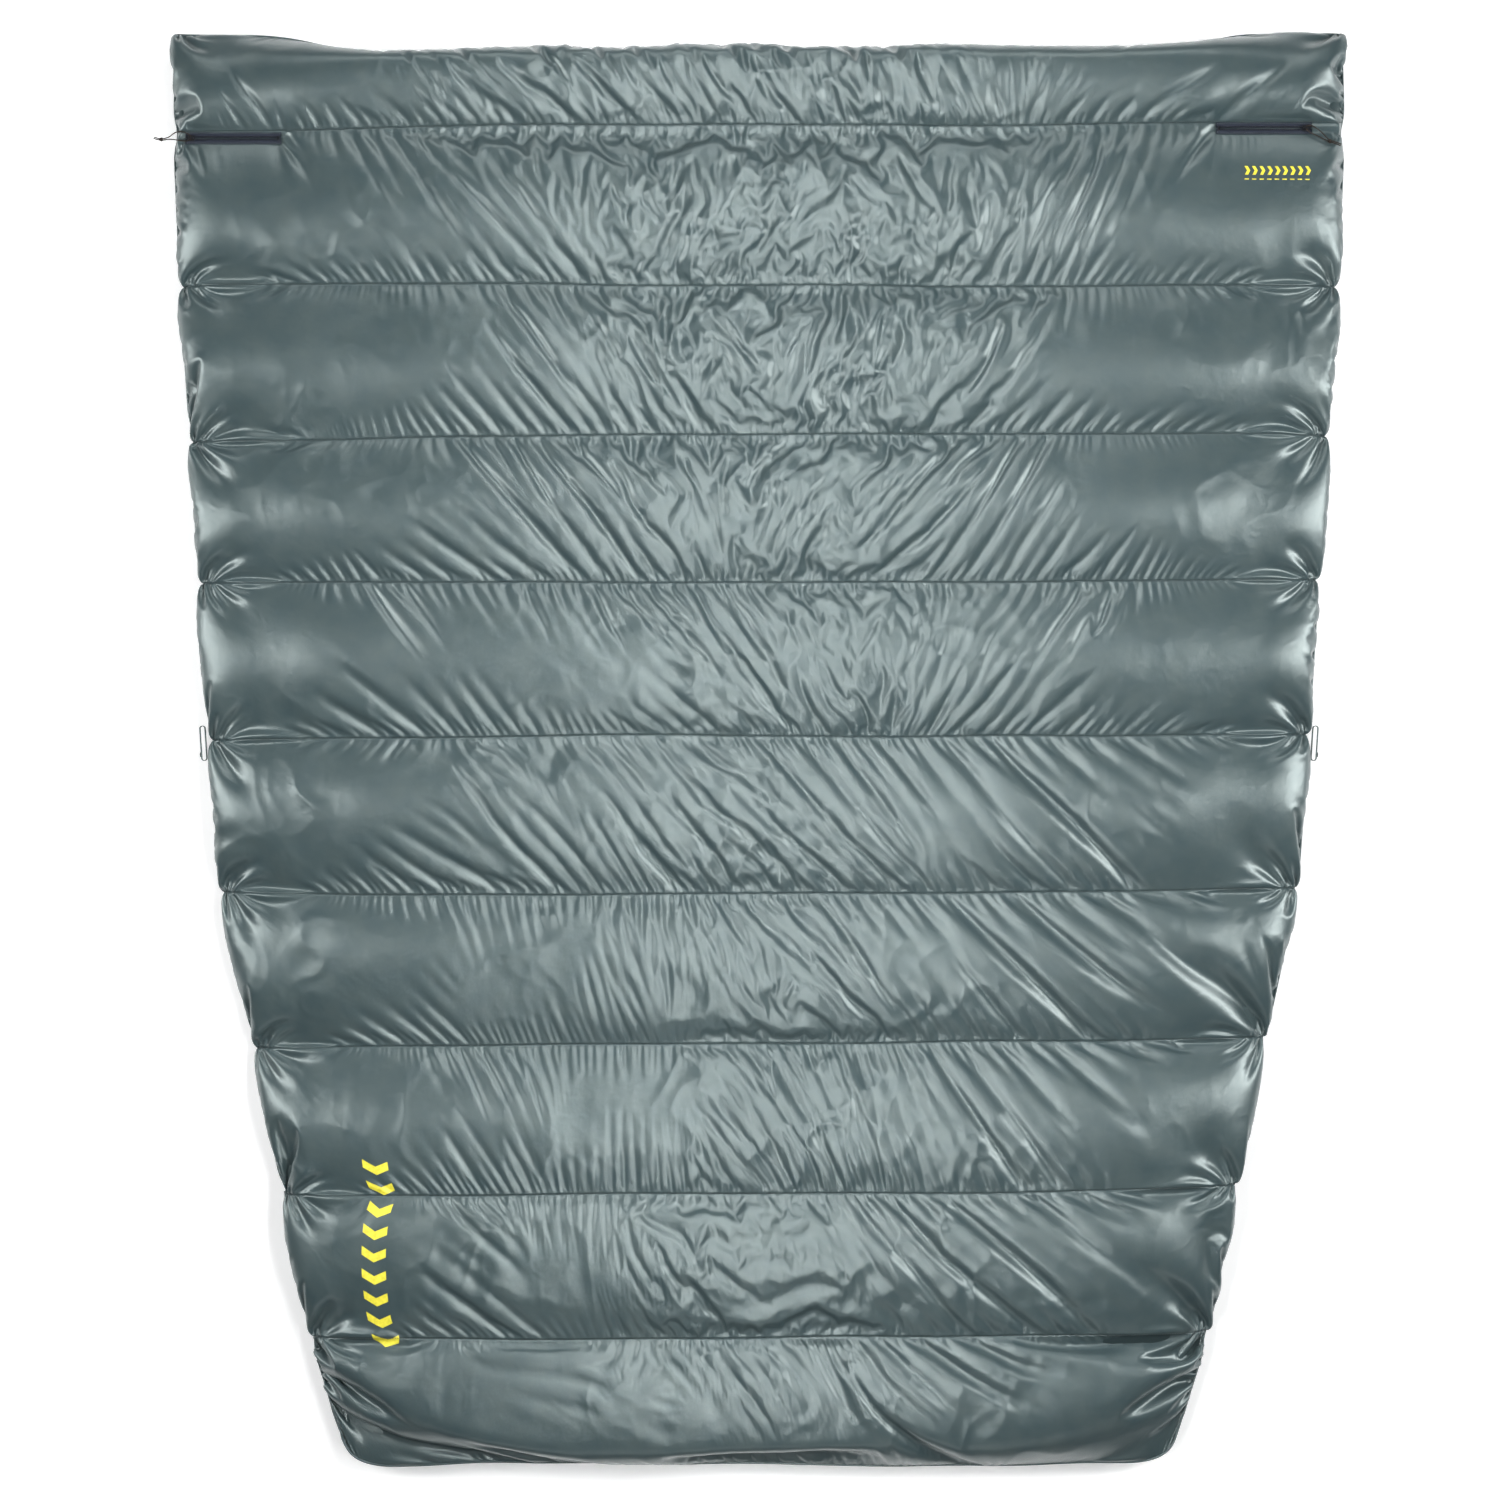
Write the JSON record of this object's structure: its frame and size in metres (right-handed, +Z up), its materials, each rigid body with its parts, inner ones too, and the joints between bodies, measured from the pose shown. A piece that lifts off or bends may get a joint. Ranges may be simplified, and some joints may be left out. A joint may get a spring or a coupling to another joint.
{
  "type": "camp quilt",
  "caption": "Wide two-person down camp quilt with crosswise baffles, a tapering foot with a closed footbox, zipped stash pockets at the head corners and a loop for a pad strap at each side.",
  "frame": {"origin": "middle of the quilt's bounding box on the ground, without the zip pulls", "axes": "+Z up, outer fabric up; +Y towards the head end; +X towards the right-hand zip when seen from above with the head end at the top"},
  "size_m": [1.6773, 2.0161, 0.1019],
  "materials": {
    "shell_fabric": "satin",
    "liner_fabric": "satin",
    "baffle_fabric": "matte",
    "down": "matte",
    "pocket_fabric": "satin",
    "zip_tape": "matte",
    "zip_coil": "satin",
    "slider_metal": "satin",
    "pull_cord": "matte",
    "loop_tape": "matte",
    "snap_plastic": "satin",
    "label_satin": "satin"
  },
  "bodies": {
    "quilt": {"outer_shell": "shell_fabric", "liner": "liner_fabric", "footbox_lining_top": "liner_fabric", "footbox_panel": "shell_fabric", "footbox_lining_floor": "liner_fabric", "footbox_baffle": "baffle_fabric", "footbox_fill_1": "down", "footbox_fill_2": "down", "footbox_gusset_toe": "shell_fabric", "footbox_gusset_left": "shell_fabric", "footbox_gusset_right": "shell_fabric", "care_label": "label_satin", "loop_snaps": "snap_plastic", "baffle_wall_1": "baffle_fabric", "baffle_wall_2": "baffle_fabric", "baffle_wall_3": "baffle_fabric", "baffle_wall_4": "baffle_fabric", "baffle_wall_5": "baffle_fabric", "baffle_wall_6": "baffle_fabric", "baffle_wall_7": "baffle_fabric", "baffle_wall_8": "baffle_fabric", "baffle_wall_9": "baffle_fabric", "down_fill_1": "down", "down_fill_2": "down", "down_fill_3": "down", "down_fill_4": "down", "down_fill_5": "down", "down_fill_6": "down", "down_fill_7": "down", "down_fill_8": "down", "down_fill_9": "down", "down_fill_10": "down", "strap_loop_left": "loop_tape", "strap_loop_right": "loop_tape", "zip_tape_left": "zip_tape", "zip_tape_right": "zip_tape", "zip_coil_left": "zip_coil", "zip_coil_right": "zip_coil", "zip_stops_left": "zip_coil", "zip_stops_right": "zip_coil", "pocket_bag_left": "pocket_fabric", "pocket_bag_right": "pocket_fabric"},
    "slider_left": {"slider_left": "slider_metal"},
    "pull_left": {"pull_cord_left_a": "pull_cord", "pull_cord_left_b": "pull_cord", "pull_knot_left": "pull_cord"},
    "slider_right": {"slider_right": "slider_metal"},
    "pull_right": {"pull_cord_right_a": "pull_cord", "pull_cord_right_b": "pull_cord", "pull_knot_right": "pull_cord"}
  },
  "joints": [
    {"name": "zip_slide_left", "type": "slide", "parent": "quilt", "child": "slider_left", "axis": [1, 0, 0], "range_m": [0, 0.115]},
    {"name": "pull_swing_left", "type": "hinge", "parent": "slider_left", "child": "pull_left", "pos_m": [-0.795, 0.853, 0.0488], "axis": [0, 1, 0], "range_deg": [0, 150]},
    {"name": "zip_slide_right", "type": "slide", "parent": "quilt", "child": "slider_right", "axis": [-1, 0, 0], "range_m": [0, 0.115]},
    {"name": "pull_swing_right", "type": "hinge", "parent": "slider_right", "child": "pull_right", "pos_m": [0.766, 0.867, 0.0488], "axis": [0, -1, 0], "range_deg": [0, 150]}
  ]
}
